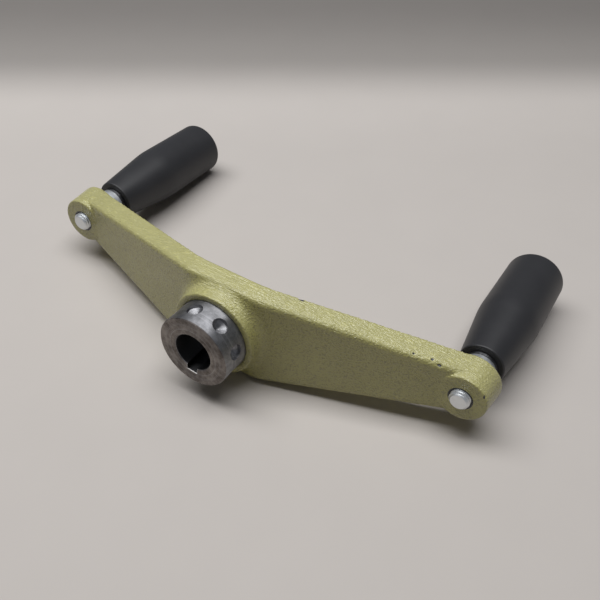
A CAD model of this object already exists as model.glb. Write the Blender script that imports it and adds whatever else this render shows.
"""Dresses the two-armed crank handle: painted casting, dark steel sleeve, zinc spindles, black grips.

Everything is in metres, in the part's own frame: +Y runs along the bore towards the grips, +X
along the right arm and +Z up, with the origin at the centre of the sleeve's front face.
"""

import math

import bmesh
import bpy
import numpy as np
from bpy.props import FloatProperty, FloatVectorProperty, IntProperty, PointerProperty
from mathutils import Matrix, Vector


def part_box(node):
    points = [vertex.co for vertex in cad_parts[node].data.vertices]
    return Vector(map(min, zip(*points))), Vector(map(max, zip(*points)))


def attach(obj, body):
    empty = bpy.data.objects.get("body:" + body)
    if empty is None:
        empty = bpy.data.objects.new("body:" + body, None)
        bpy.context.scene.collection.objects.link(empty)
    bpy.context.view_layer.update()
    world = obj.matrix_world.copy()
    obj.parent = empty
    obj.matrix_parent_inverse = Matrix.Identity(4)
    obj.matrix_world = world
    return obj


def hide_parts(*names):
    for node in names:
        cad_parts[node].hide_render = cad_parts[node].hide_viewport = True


bl_info = {
    "name": "Crank Handle",
    "version": (1, 0, 0),
    "blender": (4, 5, 0),
    "location": "View3D > Sidebar > Crank Handle",
    "description": "Builds the finished pieces of a two-armed crank handle round its packed solids",
    "category": "Object",
}

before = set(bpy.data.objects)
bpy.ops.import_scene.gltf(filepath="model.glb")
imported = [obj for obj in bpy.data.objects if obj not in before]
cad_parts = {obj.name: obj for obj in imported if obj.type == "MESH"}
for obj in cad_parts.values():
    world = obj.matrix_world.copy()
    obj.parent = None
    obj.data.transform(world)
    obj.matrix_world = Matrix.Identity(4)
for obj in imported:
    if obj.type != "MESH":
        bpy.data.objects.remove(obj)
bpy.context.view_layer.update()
MM = 0.001
SIDES = ("left", "right")


# ---------------------------------------------------------------- sizes from the frame


def axis_x(node):
    """The place along X of a round piece whose own axis runs along Y."""
    low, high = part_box(node)
    return (low.x + high.x) / 2


arm_low, arm_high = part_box("crank_arm")
sleeve_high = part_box("hub_sleeve")[1]
ring_low, ring_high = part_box("left_retaining_ring")
spindle_low, spindle_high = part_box("left_spindle")
washer_low, washer_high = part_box("left_thrust_washer")
grip_low, grip_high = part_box("left_grip")
collar_radius = (spindle_high.x - spindle_low.x) / 2
washer_radius = (washer_high.x - washer_low.x) / 2


# ---------------------------------------------------------------- settings


def length(default, name, description):
    """A length in metres that a user can change."""
    return FloatProperty(
        name=name, description=description, default=default, min=0, unit="LENGTH", precision=5
    )


def colour(default, name, description):
    """A surface colour that a user can change."""
    return FloatVectorProperty(
        name=name, description=description, default=default, size=3, min=0, max=1, subtype="COLOR"
    )


class CastingSettings(bpy.types.PropertyGroup):
    net_pitch: length(0.55 * MM, "Net pitch", "Side of the even net that the casting's skin is made of")
    swell_cell: length(9 * MM, "Swell cell", "Spacing of the broad hollows that the sand mould left")
    swell_height: length(0.07 * MM, "Swell height", "Height of those hollows")
    pit_cell: length(2.2 * MM, "Pit cell", "Spacing of the small pits in the skin")
    pit_height: length(0.035 * MM, "Pit height", "Height of the small pits")
    paint: colour((0.385, 0.365, 0.145), "Paint", "Olive green gloss paint")
    iron: colour((0.03, 0.03, 0.033), "Iron", "Bare metal where the paint is chipped")
    stud_hole: length(6.1 * MM, "Stud hole", "Radius of the dark gap round each stud")


class SleeveSettings(bpy.types.PropertyGroup):
    steel: colour((0.26, 0.26, 0.27), "Steel", "Dark turned steel")
    turning_pitch: length(0.35 * MM, "Turning pitch", "Spacing of the lathe's marks")
    bore: length(10.1 * MM, "Bore", "Radius inside which the steel is black with oil")
    key: length(6.1 * MM, "Keyway", "Width of the keyway, whose front edge is bright")


class SpindleSettings(bpy.types.PropertyGroup):
    zinc: colour((0.74, 0.76, 0.77), "Zinc", "Bright zinc plate")
    stud_radius: length(5 * MM, "Stud radius", "Outside radius of the screw thread")
    stud_chamfer: length(1.15 * MM, "Stud chamfer", "Chamfer on the stud's front end")
    thread_pitch: length(1.5 * MM, "Thread pitch", "From one turn of the thread to the next")
    thread_depth: length(0.8 * MM, "Thread depth", "Crest to root")
    thread_reach: length(4 * MM, "Thread reach", "How far into the boss the thread is cut in full")
    collar_round: length(0.45 * MM, "Collar round", "Rounding of the collar's edges")
    shank_radius: length(5 * MM, "Shank radius", "Radius of the shank that the grip turns on")
    shank_round: length(1 * MM, "Shank round", "Rounding of the shank's end")
    groove_depth: length(0.8 * MM, "Groove depth", "Depth of the retaining ring's groove")
    columns: IntProperty(name="Columns", description="Faces round a turned piece", default=128, min=16)


class WasherSettings(bpy.types.PropertyGroup):
    steel: colour((0.1, 0.1, 0.105), "Steel", "Plain dark steel of the washers and rings")
    bore_radius: length(5.1 * MM, "Bore radius", "Radius of the washer's hole")
    edge_round: length(0.25 * MM, "Edge round", "Rounding of the washer's edges")


class GripSettings(bpy.types.PropertyGroup):
    plastic: colour((0.016, 0.016, 0.018), "Plastic", "Black moulded thermoset")
    neck_radius: length(11.3 * MM, "Neck radius", "Radius at the end beside the arm")
    end_radius: length(15.45 * MM, "End radius", "Radius at the far end")
    belly_place: length(35.5 * MM, "Belly place", "Neck to where the cone and the barrel meet")
    belly_round: length(60 * MM, "Belly round", "Rounding where the cone and the barrel meet")
    lip_round: length(1 * MM, "Lip round", "Rounding of the neck's edge")
    end_round: length(3 * MM, "End round", "Rounding of the far end's edge")
    bore_radius: length(5.05 * MM, "Bore radius", "Radius of the hole for the shank")
    columns: IntProperty(name="Columns", description="Faces round the grip", default=160, min=16)


class StageSettings(bpy.types.PropertyGroup):
    floor: colour((0.571, 0.533, 0.5), "Floor", "Pale matt table top")
    key_power: FloatProperty(name="Key power", description="Soft light overhead, in watts", default=20.0)
    fill: colour((0.06, 0.06, 0.063), "Fill", "Dim light from all round")
    surroundings: colour((0.24, 0.25, 0.27), "Surroundings", "Pale room that gloss and metal show")


# ---------------------------------------------------------------- surfaces


def rounded_profile(corners, radii, steps=6, guard=0.12 * MM):
    """Points along a chain of straight runs whose corners are arcs.

    Each corner with a radius r is replaced by the arc of that radius that touches both runs, at
    r tan(turn / 2) from the corner, and a guard point stands just outside each end of the arc so
    that smooth shading stays flat along the runs.
    """
    corners = np.asarray(corners, float)
    points = [corners[0]]
    for before, corner, after, radius in zip(corners, corners[1:], corners[2:], radii):
        if radius <= 0:
            points.append(corner)
            continue
        to_before = (before - corner) / np.linalg.norm(before - corner)
        to_after = (after - corner) / np.linalg.norm(after - corner)
        half = math.acos(np.clip(to_before @ to_after, -1, 1)) / 2
        inset = radius / math.tan(half)
        middle = to_before + to_after
        centre = corner + middle / np.linalg.norm(middle) * radius / math.sin(half)
        start = corner + to_before * inset - centre
        end = corner + to_after * inset - centre
        sweep = math.pi - 2 * half
        share = np.linspace(0, 1, steps + 1)[:, None]
        arc = (np.sin((1 - share) * sweep) * start + np.sin(share * sweep) * end) / math.sin(sweep)
        room_before = np.linalg.norm(before - corner) - inset
        room_after = np.linalg.norm(after - corner) - inset
        points.append(corner + to_before * (inset + min(guard, room_before / 3)))
        points.extend(centre + arc)
        points.append(corner + to_after * (inset + min(guard, room_after / 3)))
    points.append(corners[-1])
    return np.array(points)


def grid_faces(rows, columns, wrap_rows=False):
    """Quads between neighbouring rows of a grid whose columns close on themselves."""
    row = np.arange(rows if wrap_rows else rows - 1)[:, None]
    column = np.arange(columns)[None, :]
    next_row = (row + 1) % rows
    next_column = (column + 1) % columns
    corners = np.stack(
        (
            row * columns + column,
            row * columns + next_column,
            next_row * columns + next_column,
            next_row * columns + column,
        ),
        axis=-1,
    )
    return corners.reshape(-1, 4)


def make_piece(name, points, faces, closed=True):
    """A smooth-shaded mesh object at the origin; a closed one has its faces turned outwards."""
    mesh = bpy.data.meshes.new(name)
    mesh.from_pydata(points.tolist(), [], faces)
    mesh.shade_smooth()
    if closed:
        net = bmesh.new()
        net.from_mesh(mesh)
        bmesh.ops.recalc_face_normals(net, faces=net.faces)
        net.to_mesh(mesh)
        net.free()
    piece = bpy.data.objects.new(name, mesh)
    bpy.context.scene.collection.objects.link(piece)
    return piece


def turned_piece(name, centre_x, radius, place, columns, hollow=False):
    """A surface of revolution about the line x = centre_x, z = 0.

    A point of row i and column j is at (centre_x + radius sin a, place, radius cos a) with
    a = 2 pi j / columns. radius may differ from column to column, as on a screw thread. A solid
    piece starts and ends with a pole on the axis; a hollow one closes on its own first row.
    """
    angle = np.arange(columns) * 2 * math.pi / columns
    radius = np.broadcast_to(np.asarray(radius, float).reshape(len(place), -1), (len(place), columns))
    place = np.broadcast_to(np.asarray(place, float)[:, None], radius.shape)
    points = np.stack(
        (centre_x + radius * np.sin(angle), place, radius * np.cos(angle)), axis=-1
    )
    if hollow:
        faces = grid_faces(len(points), columns, wrap_rows=True).tolist()
        return make_piece(name, points.reshape(-1, 3), faces)
    skin = points[1:-1].reshape(-1, 3)
    faces = grid_faces(len(points) - 2, columns).tolist()
    first_pole, last_pole = len(skin), len(skin) + 1
    last_row = len(skin) - columns
    around = np.arange(columns)
    beside = (around + 1) % columns
    faces += np.stack((np.full(columns, first_pole), beside, around), axis=-1).tolist()
    faces += np.stack(
        (np.full(columns, last_pole), last_row + around, last_row + beside), axis=-1
    ).tolist()
    return make_piece(name, np.vstack((skin, points[0, :1], points[-1, :1])), faces)


def lattice_noise(points, cell, seed):
    """Smooth noise from -1 to 1 at each point.

    Random heights stand on a cubic lattice of this cell, and between them the height is blended
    along each axis with 3 t^2 - 2 t^3, t being the share of the cell that is passed.
    """
    heights = np.random.default_rng(seed).uniform(-1, 1, 8191)
    cell_index = np.floor(points / cell).astype(np.int64)
    share = points / cell - cell_index
    ease = share * share * (3 - 2 * share)
    total = np.zeros(len(points))
    for corner in np.ndindex(2, 2, 2):
        at = cell_index + corner
        key = (at[:, 0] * 73856093 ^ at[:, 1] * 19349663 ^ at[:, 2] * 83492791) % len(heights)
        weight = np.where(corner, ease, 1 - ease).prod(axis=1)
        total += weight * heights[key]
    return total


# ---------------------------------------------------------------- shader building


class Shader:
    """A material's node tree, with short calls for the nodes that the finishes are made of."""

    def __init__(self, name):
        self.material = bpy.data.materials.new(name)
        self.material.use_nodes = True
        self.nodes = self.material.node_tree.nodes
        self.links = self.material.node_tree.links
        self.nodes.clear()
        self.surface = self.nodes.new("ShaderNodeBsdfPrincipled")
        output = self.nodes.new("ShaderNodeOutputMaterial")
        self.links.new(self.surface.outputs["BSDF"], output.inputs["Surface"])
        self.place = self.nodes.new("ShaderNodeTexCoord").outputs["Object"]

    def put(self, socket, value):
        """Sets a socket, or links it if the value is another node's output."""
        if isinstance(value, bpy.types.NodeSocket):
            self.links.new(value, socket)
        elif value is not None:
            socket.default_value = (*value, 1) if socket.type == "RGBA" else value

    def noise(self, scale, detail=2.0, roughness=0.5, place=None):
        """Smooth noise from 0 to 1, whose lumps are about 1 / scale metres apart."""
        node = self.nodes.new("ShaderNodeTexNoise")
        self.put(node.inputs["Vector"], place or self.place)
        node.inputs["Scale"].default_value = scale
        node.inputs["Detail"].default_value = detail
        node.inputs["Roughness"].default_value = roughness
        node.inputs["Distortion"].default_value = 0.0
        return node.outputs["Fac"]

    def stretched(self, scale, place=None):
        """The place, scaled by its own factor along each axis."""
        node = self.nodes.new("ShaderNodeMapping")
        self.put(node.inputs["Vector"], place or self.place)
        node.inputs["Scale"].default_value = scale
        return node.outputs["Vector"]

    def math(self, operation, first, second=None):
        node = self.nodes.new("ShaderNodeMath")
        node.operation = operation
        for socket, value in zip(node.inputs, (first, second)):
            self.put(socket, value)
        return node.outputs["Value"]

    def ramp(self, value, low, high, from_low=0.0, from_high=1.0, smooth=True):
        """Carries value from one range to another, held at both ends."""
        node = self.nodes.new("ShaderNodeMapRange")
        node.interpolation_type = "SMOOTHSTEP" if smooth else "LINEAR"
        self.put(node.inputs["Value"], value)
        self.put(node.inputs["From Min"], from_low)
        self.put(node.inputs["From Max"], from_high)
        self.put(node.inputs["To Min"], low)
        self.put(node.inputs["To Max"], high)
        return node.outputs["Result"]

    def mix(self, share, first, second):
        """A colour between first and second."""
        node = self.nodes.new("ShaderNodeMix")
        node.data_type = "RGBA"
        self.put(node.inputs["Factor"], share)
        for name, value in (("A", first), ("B", second)):
            socket = next(s for s in node.inputs if s.name == name and s.type == "RGBA")
            self.put(socket, value)
        return next(s for s in node.outputs if s.type == "RGBA")

    def split(self, vector):
        node = self.nodes.new("ShaderNodeSeparateXYZ")
        self.put(node.inputs["Vector"], vector)
        return node.outputs

    def join(self, x, y, z):
        node = self.nodes.new("ShaderNodeCombineXYZ")
        for socket, value in zip(node.inputs, (x, y, z)):
            self.put(socket, value)
        return node.outputs["Vector"]

    def bump(self, height, distance, strength=1.0, under=None):
        """Height, from 0 to 1, stands for that distance."""
        node = self.nodes.new("ShaderNodeBump")
        self.put(node.inputs["Height"], height)
        node.inputs["Distance"].default_value = distance
        self.put(node.inputs["Strength"], strength)
        self.put(node.inputs["Normal"], under)
        return node.outputs["Normal"]

    def length_of(self, first, second):
        """The root of the sum of two squares."""
        squares = (self.math("MULTIPLY", value, value) for value in (first, second))
        return self.math("SQRT", self.math("ADD", *squares))

    def product(self, *values):
        """All the values multiplied together."""
        result = values[0]
        for value in values[1:]:
            result = self.math("MULTIPLY", result, value)
        return result

    def finish(self, **sockets):
        """Fills the surface's sockets, each named with _ for a space, and gives the material."""
        for name, value in sockets.items():
            self.put(self.surface.inputs[name.replace("_", " ")], value)
        return self.material


def shade(colour, factor):
    """A colour made darker or lighter by one factor."""
    return tuple(min(1.0, channel * factor) for channel in colour)


def olive_paint(settings):
    """Gloss paint over a sand casting: orange peel on the faces, grinding streaks on the edges."""
    shader = Shader("olive_paint")
    paint = tuple(settings.paint)
    facing = shader.split(shader.nodes.new("ShaderNodeTexCoord").outputs["Normal"])["Z"]
    on_edge = shader.ramp(shader.math("ABSOLUTE", facing), 0.0, 1.0, 0.4, 0.75)
    on_face = shader.math("SUBTRACT", 1.0, on_edge)
    broad = shader.noise(45, detail=3)
    peel = shader.noise(1000, detail=2, roughness=0.6)
    streaks = shader.noise(1, detail=2, place=shader.stretched((130, 1500, 1500)))
    shaded = (paint[0], paint[1] * 0.98, paint[2] * 0.78)
    tint = shader.mix(broad, shade(shaded, 0.8), shade(shaded, 0.98))
    tint = shader.mix(on_edge, tint, shader.mix(broad, shade(paint, 1.08), shade(paint, 1.26)))
    pitted = shader.math("MULTIPLY", shader.ramp(peel, 0.0, 0.6, 0.5, 0.66), on_face)
    tint = shader.mix(pitted, tint, shade(paint, 0.45))
    worn = shader.math("MULTIPLY", shader.ramp(streaks, 0.0, 0.6, 0.52, 0.72), on_edge)
    tint = shader.mix(worn, tint, shade(paint, 1.7))
    normal = shader.bump(peel, 0.9 * MM, strength=shader.ramp(on_edge, 0.9, 0.4))
    normal = shader.bump(streaks, 0.62 * MM, strength=on_edge, under=normal)
    chipped = shader.nodes.new("ShaderNodeAttribute")
    chipped.attribute_name = "chip_depth"
    rag = shader.ramp(shader.noise(1500), -0.5, 0.5, smooth=False)
    ragged = shader.math("ADD", chipped.outputs["Fac"], rag)
    x, z = (shader.split(shader.place)[axis] for axis in "XZ")
    beside = shader.math("SUBTRACT", shader.math("ABSOLUTE", x), axis_x("right_spindle"))
    from_stud = shader.length_of(beside, z)
    soft = 0.1 * MM
    in_hole = shader.ramp(from_stud, 1.0, 0.0, settings.stud_hole - soft, settings.stud_hole + soft)
    bare = shader.math("MAXIMUM", shader.ramp(ragged, 0.0, 1.0, 0.35, 0.5), in_hole)
    dark = shader.mix(in_hole, tuple(settings.iron), (0.004, 0.004, 0.004))
    return shader.finish(
        Base_Color=shader.mix(bare, tint, dark),
        Roughness=shader.ramp(shader.noise(300, detail=3), 0.26, 0.42),
        Specular_IOR_Level=0.5,
        Coat_Weight=0.8,
        Coat_Roughness=0.25,
        Coat_Normal=normal,
        Normal=normal,
    )


def turned_steel(name, colour_value, pitch, roughness, bore=0.0, key=0.0):
    """Dark steel with the lathe's fine rings, browned on its front face and black inside its bore."""
    shader = Shader(name)
    x, y, z = (shader.split(shader.place)[axis] for axis in "XYZ")
    across = shader.length_of(x, z)
    # a little of x lets the rings' strength change along the way round
    drift = shader.math("MULTIPLY", x, 0.04)
    rings = shader.noise(1 / pitch, detail=3, roughness=0.7, place=shader.join(across, y, drift))
    stain = shader.ramp(shader.noise(160, detail=5, roughness=0.7), 0.0, 1.0, 0.32, 0.68)
    coarse = shader.noise(0.3 / pitch, detail=2, roughness=0.7, place=shader.join(across, y, 0.0))
    tint = shader.mix(stain, shade(colour_value, 0.7), shade(colour_value, 1.3))
    on_front = shader.ramp(y, 1.0, 0.0, 0.1 * MM, 0.5 * MM)
    tint = shader.mix(on_front, tint, shader.mix(stain, (0.09, 0.075, 0.066), (0.26, 0.235, 0.215)))
    tint = shader.mix(shader.ramp(coarse, 0.0, 0.28, 0.45, 0.7), tint, shade(colour_value, 1.9))
    in_bore = shader.ramp(across, 1.0, 0.0, bore, bore + 0.4 * MM)
    keyway_slope = 0.07  # x gained per z along the middle of the keyway, which is turned about 4 degrees
    off_key = shader.math("ABSOLUTE", shader.math("SUBTRACT", x, shader.math("MULTIPLY", z, keyway_slope)))
    in_key = shader.product(
        shader.ramp(off_key, 1.0, 0.0, key / 2, key / 2 + 0.1 * MM),
        shader.math("LESS_THAN", z, 0.0),
        shader.math("LESS_THAN", across, bore + key / 2),
    )
    behind_edge = shader.math("GREATER_THAN", y, 0.35 * MM)
    tint = shader.mix(in_key, tint, (0.8, 0.78, 0.76))
    oily = shader.math("MULTIPLY", shader.math("MAXIMUM", in_bore, in_key), behind_edge)
    tint = shader.mix(oily, tint, shade(colour_value, 0.16))
    along = shader.nodes.new("ShaderNodeTangent")
    along.direction_type, along.axis = "RADIAL", "Y"
    return shader.finish(
        Base_Color=tint,
        Metallic=1.0,
        Roughness=shader.ramp(rings, roughness - 0.07, roughness + 0.09),
        Anisotropic=0.75,
        Anisotropic_Rotation=0.25,
        Tangent=along.outputs["Tangent"],
        Normal=shader.bump(rings, 0.05 * MM, strength=0.8),
    )


def zinc_plate(settings):
    """Bright zinc: pale, faintly clouded, with fine turning marks."""
    shader = Shader("zinc_plate")
    zinc = tuple(settings.zinc)
    cloud = shader.noise(420, detail=3)
    marks = shader.noise(1, detail=2, place=shader.stretched((900, 3500, 900)))
    return shader.finish(
        Base_Color=shader.mix(cloud, shade(zinc, 0.86), shade(zinc, 1.06)),
        Metallic=1.0,
        Roughness=shader.ramp(cloud, 0.34, 0.5),
        Normal=shader.bump(marks, 0.02 * MM, strength=0.5),
    )


def black_grip(settings):
    """Satin black thermoset: a very fine moulded grain under a soft sheen."""
    shader = Shader("black_grip")
    plastic = tuple(settings.plastic)
    haze = shader.noise(70, detail=4)
    grain = shader.noise(1900, detail=2)
    return shader.finish(
        Base_Color=shader.mix(haze, shade(plastic, 0.8), shade(plastic, 1.3)),
        Roughness=shader.ramp(haze, 0.42, 0.5),
        Specular_IOR_Level=0.5,
        Normal=shader.bump(grain, 0.02 * MM, strength=0.6),
    )


def matt_floor(settings):
    """Pale table top, faintly mottled, that darkens softly beyond its far edge."""
    shader = Shader("matt_floor")
    x, y = (shader.split(shader.place)[axis] for axis in "XY")
    to_edge = (-0.543, 0.84)  # unit direction in X and Y, square to the table's far edge
    across = shader.math(
        "ADD", shader.math("MULTIPLY", y, to_edge[1]), shader.math("MULTIPLY", x, to_edge[0])
    )
    brighter = shader.ramp(across, 1.0, 1.05, 0.2, 0.265)
    past_edge = shader.ramp(across, 1.0, 0.58, 0.27, 0.345)
    far = shader.ramp(across, 1.0, 0.68, 0.3, 0.45)
    mottle = shader.ramp(shader.noise(30, detail=4), 0.985, 1.015)
    level = shader.product(brighter, past_edge, far, mottle)
    tint = shader.mix(level, (0, 0, 0), tuple(settings.floor))
    tint.node.clamp_factor = False
    return shader.finish(Base_Color=tint, Roughness=0.75, Specular_IOR_Level=0.2)


def wear(obj, material):
    """Puts the material in every slot of a carried-over node or a new piece."""
    if not obj.material_slots:
        obj.data.materials.append(material)
    for slot in obj.material_slots:
        slot.material = material


# ---------------------------------------------------------------- pieces


# Where the paint is chipped: (centre, half size along each axis, depth), in millimetres
chips = (
    ((98.3, 46.7, 15.1), (1.0, 0.8, 0.7), 0.3),
    ((102.1, 46.6, 13.6), (1.5, 0.9, 0.9), 0.45),
    ((90.0, 44.1, 16.1), (0.9, 0.6, 0.6), 0.2),
    ((124.8, 46.7, 7.1), (0.8, 0.8, 1.2), 0.3),
    ((34.8, 36.6, 24.9), (2.8, 0.9, 1.0), 0.3),
)


def chip_shape(points):
    """How far inside a chip each point lies, and how deep the skin is cut there, in metres.

    A chip is an ellipsoid: its value is 1 - (distance / half size)^2, which is 1 at its middle and
    0 at its rim. The cut follows that value times the chip's depth.
    """
    inside = np.zeros(len(points))
    cut = np.zeros(len(points))
    for centre, half_size, depth in chips:
        away = (points - np.array(centre) * MM) / (np.array(half_size) * MM)
        value = 1 - (away**2).sum(axis=1)
        inside = np.maximum(inside, value)
        cut = np.maximum(cut, np.clip(value, 0, 1) * depth * MM)
    return inside, cut


def even_skin(node, pitch):
    """The solid's own surface as an even net: its loose triangles merged, then remeshed in cubes."""
    source = bpy.data.objects.new("source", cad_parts[node].data.copy())
    bpy.context.scene.collection.objects.link(source)
    net = bmesh.new()
    net.from_mesh(source.data)
    bmesh.ops.remove_doubles(net, verts=net.verts, dist=0.001 * MM)
    net.to_mesh(source.data)
    net.free()
    remesh = source.modifiers.new("even_net", "REMESH")
    remesh.mode = "VOXEL"
    remesh.voxel_size = pitch
    remesh.use_smooth_shade = True
    depsgraph = bpy.context.evaluated_depsgraph_get()
    mesh = bpy.data.meshes.new_from_object(source.evaluated_get(depsgraph))
    bpy.data.objects.remove(source)
    return mesh


class CRANK_OT_casting(bpy.types.Operator):
    """Skins the cast arm: sand-cast swells and pits, chips at the edges, olive gloss paint"""

    bl_idname = "crank.casting"
    bl_label = "Painted casting"

    def execute(self, context):
        settings = context.scene.crank_casting
        mesh = even_skin("crank_arm", settings.net_pitch)
        mesh.name = "painted_casting"
        count = len(mesh.vertices)
        points = np.empty(count * 3, np.float32)
        mesh.vertices.foreach_get("co", points)
        points = points.reshape(-1, 3).astype(float)
        normals = np.empty(count * 3, np.float32)
        mesh.vertex_normals.foreach_get("vector", normals)
        normals = normals.reshape(-1, 3)
        chip_value, chip_cut = chip_shape(points)
        # height = broad swells + small pits, both smooth lattice noise, less the chips
        height = settings.swell_height * lattice_noise(points, settings.swell_cell, seed=11)
        height += settings.pit_height * lattice_noise(points, settings.pit_cell, seed=12)
        height -= chip_cut
        chip_layer = mesh.attributes.new("chip_depth", "FLOAT", "POINT")
        chip_layer.data.foreach_set("value", chip_value.astype(np.float32))
        points += normals * height[:, None]
        mesh.vertices.foreach_set("co", points.astype(np.float32).ravel())
        mesh.shade_smooth()
        mesh.update()
        piece = bpy.data.objects.new("painted_casting", mesh)
        context.scene.collection.objects.link(piece)
        wear(piece, olive_paint(settings))
        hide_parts("crank_arm")
        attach(piece, "crank")
        return {"FINISHED"}


class CRANK_OT_sleeve(bpy.types.Operator):
    """Finishes the keyed sleeve as dark turned steel"""

    bl_idname = "crank.sleeve"
    bl_label = "Keyed sleeve"

    def execute(self, context):
        settings = context.scene.crank_sleeve
        steel = turned_steel(
            "turned_steel",
            tuple(settings.steel),
            settings.turning_pitch,
            roughness=0.46,
            bore=settings.bore,
            key=settings.key,
        )
        wear(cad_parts["hub_sleeve"], steel)
        return {"FINISHED"}


def thread_radius(place, start, settings):
    """Radius of the stud's screw thread: one row per place, one column per step round it.

    The thread is a 60 degree groove that runs round once per pitch: with t the share of the
    pitch passed at that angle, the groove is deepest at t = 1/2 and its flanks are straight.
    Before the chamfer's cone is passed, the cone is the smaller and is what shows.
    """
    columns = settings.columns
    turn = np.arange(columns) / columns
    passed = (place[:, None] - start) / settings.thread_pitch - turn[None, :]
    from_root = np.abs(passed % 1 - 0.5) * 2
    crest_share = 0.18
    groove = settings.thread_depth * np.clip((1 - from_root - crest_share) / (1 - crest_share), 0, 1)
    root_flat = settings.thread_depth * 0.9
    threaded = settings.stud_radius - np.minimum(groove, root_flat)
    cone = settings.stud_radius - settings.stud_chamfer + (place[:, None] - start)
    return np.minimum(threaded, cone)


class CRANK_OT_spindles(bpy.types.Operator):
    """Turns the two zinc-plated spindles, with the thread that shows in front of each boss"""

    bl_idname = "crank.spindles"
    bl_label = "Spindles"

    def execute(self, context):
        settings = context.scene.crank_spindle
        zinc = zinc_plate(settings)
        start = spindle_low.y
        collar_start = arm_high.y
        collar_end = washer_low.y
        end = spindle_high.y
        thread_end = start + settings.thread_reach
        thread_place = np.linspace(start, thread_end, 81)
        thread = thread_radius(thread_place, start, settings)
        body = rounded_profile(
            (
                (settings.stud_radius, thread_end),
                (settings.stud_radius, collar_start),
                (collar_radius, collar_start),
                (collar_radius, collar_end),
                (settings.shank_radius, collar_end),
                (settings.shank_radius, ring_low.y),
                (settings.shank_radius - settings.groove_depth, ring_low.y),
                (settings.shank_radius - settings.groove_depth, ring_high.y),
                (settings.shank_radius, ring_high.y),
                (settings.shank_radius, end),
                (0, end),
            ),
            (0, settings.collar_round, settings.collar_round, 0, 0, 0, 0, 0, settings.shank_round),
        )
        face_edge = np.full((1, settings.columns), thread[0, 0] - 0.15 * MM)
        pole = np.zeros((1, settings.columns))
        body_radius = np.repeat(body[:, :1], settings.columns, axis=1)
        radius = np.vstack((pole, face_edge, thread, body_radius))
        place = np.concatenate(([start, start], thread_place, body[:, 1]))
        for side in SIDES:
            node = side + "_spindle"
            piece = turned_piece(side + "_zinc_spindle", axis_x(node), radius, place, settings.columns)
            wear(piece, zinc)
            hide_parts(node)
            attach(piece, "crank")
        return {"FINISHED"}


class CRANK_OT_washers(bpy.types.Operator):
    """Turns the thrust washers and finishes the retaining rings inside the grips"""

    bl_idname = "crank.washers"
    bl_label = "Washers and rings"

    def execute(self, context):
        settings = context.scene.crank_washer
        steel = turned_steel("washer_steel", tuple(settings.steel), pitch=0.2 * MM, roughness=0.4)
        edge = settings.edge_round
        section = rounded_profile(
            (
                ((settings.bore_radius + washer_radius) / 2, washer_low.y),
                (washer_radius, washer_low.y),
                (washer_radius, washer_high.y),
                (settings.bore_radius, washer_high.y),
                (settings.bore_radius, washer_low.y),
                ((settings.bore_radius + washer_radius) / 2 - edge, washer_low.y),
            ),
            (edge, edge, edge, edge),
        )
        for side in SIDES:
            node = side + "_thrust_washer"
            piece = turned_piece(
                side + "_steel_washer", axis_x(node), section[:, 0], section[:, 1], 96, hollow=True
            )
            wear(piece, steel)
            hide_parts(node)
            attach(piece, "crank")
            wear(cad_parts[side + "_retaining_ring"], steel)
        return {"FINISHED"}


class CRANK_OT_grips(bpy.types.Operator):
    """Moulds the two black grips, each free to turn on its spindle"""

    bl_idname = "crank.grips"
    bl_label = "Grips"

    def execute(self, context):
        settings = context.scene.crank_grip
        plastic = black_grip(settings)
        start, end = grip_low.y, grip_high.y
        belly = (grip_high.x - grip_low.x) / 2
        recess_radius = (ring_high.x - ring_low.x) / 2 + 0.4 * MM
        recess_start = ring_low.y - 0.1 * MM
        recess_end = ring_high.y + 1.1 * MM
        bore_end = spindle_high.y + 3 * MM
        section = rounded_profile(
            (
                (0, bore_end),
                (settings.bore_radius, bore_end),
                (settings.bore_radius, recess_end),
                (recess_radius, recess_end),
                (recess_radius, recess_start),
                (settings.bore_radius, recess_start),
                (settings.bore_radius, start),
                (settings.neck_radius, start),
                (belly, start + settings.belly_place),
                (settings.end_radius, end),
                (0, end),
            ),
            (0, 0, 0, 0, 0, 0.3 * MM, settings.lip_round, settings.belly_round, settings.end_round),
            steps=12,
        )
        for side in SIDES:
            node = side + "_grip"
            piece = turned_piece(
                side + "_black_grip", axis_x(node), section[:, 0], section[:, 1], settings.columns
            )
            wear(piece, plastic)
            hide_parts(node)
            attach(piece, node)
        return {"FINISHED"}


# ---------------------------------------------------------------- stage


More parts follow.
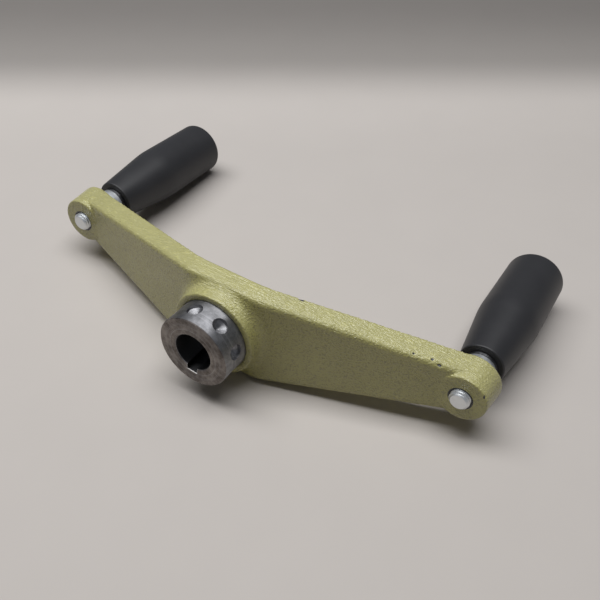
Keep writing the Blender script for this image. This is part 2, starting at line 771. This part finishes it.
class CRANK_OT_stage(bpy.types.Operator):
    """Lays the pale table top under the handle and sets the soft light and the camera"""

    bl_idname = "crank.stage"
    bl_label = "Stage"

    def execute(self, context):
        settings = context.scene.crank_stage
        # the handle rests on the hub's lower back edge and the grips' far ends
        rest_point = Vector((0, sleeve_high.y, arm_low.z))
        rise = 0.1
        reach = 6.0
        share = np.linspace(-reach, reach, 25)
        x, y = np.meshgrid(share, share)
        points = np.stack((x, y, rest_point.z + rise * (y - rest_point.y)), axis=-1).reshape(-1, 3)
        size = len(share)
        low_left = (np.arange(size - 1)[:, None] * size + np.arange(size - 1)).ravel()
        faces = np.stack((low_left, low_left + 1, low_left + size + 1, low_left + size), axis=-1)
        floor = make_piece("table_top", points, faces.tolist(), closed=False)
        wear(floor, matt_floor(settings))

        key = bpy.data.lights.new("key_light", "AREA")
        key.shape = "RECTANGLE"
        key.size, key.size_y = 1.7, 0.55
        key.energy = settings.key_power
        key.color = (0.985, 0.99, 1.0)
        key_object = bpy.data.objects.new("key_light", key)
        key_object.location = (-0.3, -0.07, 1.25)
        key_object.rotation_euler.z = math.radians(20)
        context.scene.collection.objects.link(key_object)

        world = bpy.data.worlds.new("soft_surroundings")
        world.use_nodes = True
        nodes, links = world.node_tree.nodes, world.node_tree.links
        ray = nodes.new("ShaderNodeLightPath")
        shown = ray.outputs["Is Camera Ray"]
        for kind in ("Is Glossy Ray", "Is Transmission Ray"):
            either = nodes.new("ShaderNodeMath")
            either.operation = "MAXIMUM"
            links.new(shown, either.inputs[0])
            links.new(ray.outputs[kind], either.inputs[1])
            shown = either.outputs["Value"]
        pick = nodes.new("ShaderNodeMix")
        pick.data_type = "RGBA"
        colours = [socket for socket in pick.inputs if socket.type == "RGBA"]
        colours[0].default_value = (*settings.fill, 1)
        colours[1].default_value = (*settings.surroundings, 1)
        links.new(shown, pick.inputs["Factor"])
        result = next(socket for socket in pick.outputs if socket.type == "RGBA")
        links.new(result, nodes["Background"].inputs["Color"])
        context.scene.world = world

        lens = bpy.data.cameras.new("camera")
        lens.lens, lens.sensor_width = 43.36, 36.0
        lens.clip_start, lens.clip_end = 0.01, 50.0
        camera = bpy.data.objects.new("camera", lens)
        forward = Vector((-0.36733, 0.66027, -0.65506))
        roll = math.radians(4.585)
        turn = forward.to_track_quat("-Z", "Y").to_matrix() @ Matrix.Rotation(roll, 3, "Z")
        camera.matrix_world = Matrix.Translation((0.156207, -0.18229, 0.241569)) @ turn.to_4x4()
        context.scene.collection.objects.link(camera)
        context.scene.camera = camera
        context.scene.view_settings.view_transform = "Standard"
        return {"FINISHED"}


class CRANK_PT_panel(bpy.types.Panel):
    """Lists the steps that build the handle"""

    bl_idname = "CRANK_PT_panel"
    bl_label = "Crank Handle"
    bl_space_type = "VIEW_3D"
    bl_region_type = "UI"
    bl_category = "Crank Handle"

    def draw(self, context):
        for step in steps:
            self.layout.operator(step.bl_idname)


steps = (
    CRANK_OT_casting,
    CRANK_OT_sleeve,
    CRANK_OT_spindles,
    CRANK_OT_washers,
    CRANK_OT_grips,
    CRANK_OT_stage,
)
settings_groups = {
    "crank_casting": CastingSettings,
    "crank_sleeve": SleeveSettings,
    "crank_spindle": SpindleSettings,
    "crank_washer": WasherSettings,
    "crank_grip": GripSettings,
    "crank_stage": StageSettings,
}


def register():
    for group in settings_groups.values():
        bpy.utils.register_class(group)
    for step in (*steps, CRANK_PT_panel):
        bpy.utils.register_class(step)
    for name, group in settings_groups.items():
        setattr(bpy.types.Scene, name, PointerProperty(type=group))


def unregister():
    for name in settings_groups:
        delattr(bpy.types.Scene, name)
    for step in reversed((*steps, CRANK_PT_panel)):
        bpy.utils.unregister_class(step)
    for group in reversed(settings_groups.values()):
        bpy.utils.unregister_class(group)


def main():
    register()
    bpy.ops.crank.casting()
    bpy.ops.crank.sleeve()
    bpy.ops.crank.spindles()
    bpy.ops.crank.washers()
    bpy.ops.crank.grips()
    bpy.ops.crank.stage()


if __name__ == "__main__":
    main()
